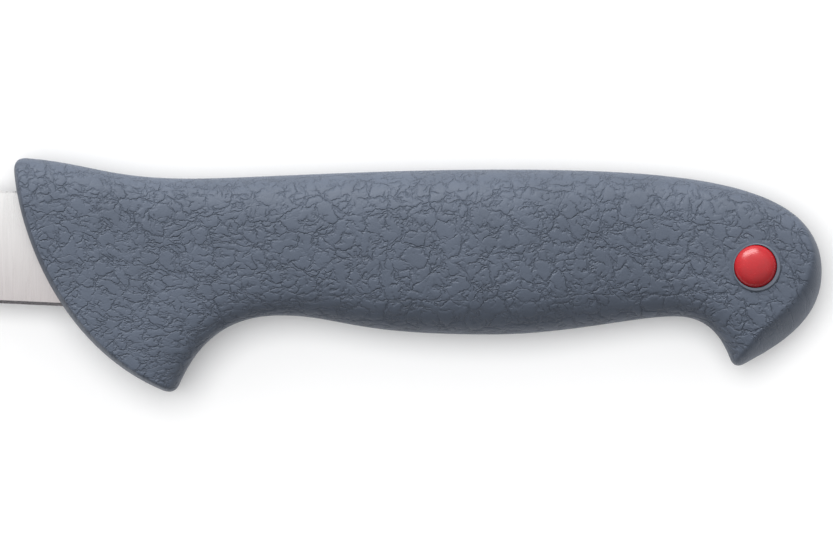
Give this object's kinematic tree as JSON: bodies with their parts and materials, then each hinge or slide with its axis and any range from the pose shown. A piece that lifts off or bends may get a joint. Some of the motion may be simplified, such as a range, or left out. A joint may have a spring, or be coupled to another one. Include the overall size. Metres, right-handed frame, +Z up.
{
  "type": "bleeding knife",
  "caption": "Spear-pointed bleeding knife lying on its side: ground steel blade, hidden tang, soft grained handle with finger guard and tail hook, and push-in colour buttons.",
  "frame": {"origin": "middle of the knife's footprint, on the surface that it lies on", "axes": "+X along the knife from its point to its tail, +Y from the cutting edge to the back, +Z up out of the blade's flat"},
  "size_m": [0.2984, 0.04, 0.021],
  "materials": {
    "blade_steel": "fine cross-ground satin",
    "hard_grey_plastic": "smooth satin moulding",
    "soft_grey_grip": "leather-grained soft overmould",
    "red_plastic": "polished"
  },
  "bodies": {
    "knife": {"blade": "blade_steel", "handle_core": "hard_grey_plastic", "grip_skin": "soft_grey_grip"},
    "front_button": {"colour_button_front": "red_plastic"},
    "back_button": {"colour_button_back": "red_plastic"}
  },
  "joints": [
    {"name": "front_button_pull", "type": "slide", "parent": "knife", "child": "front_button", "axis": [0, 0, 1], "range_m": [0, 0.0075]},
    {"name": "back_button_pull", "type": "slide", "parent": "knife", "child": "back_button", "axis": [0, 0, -1], "range_m": [0, 0.0075]}
  ]
}
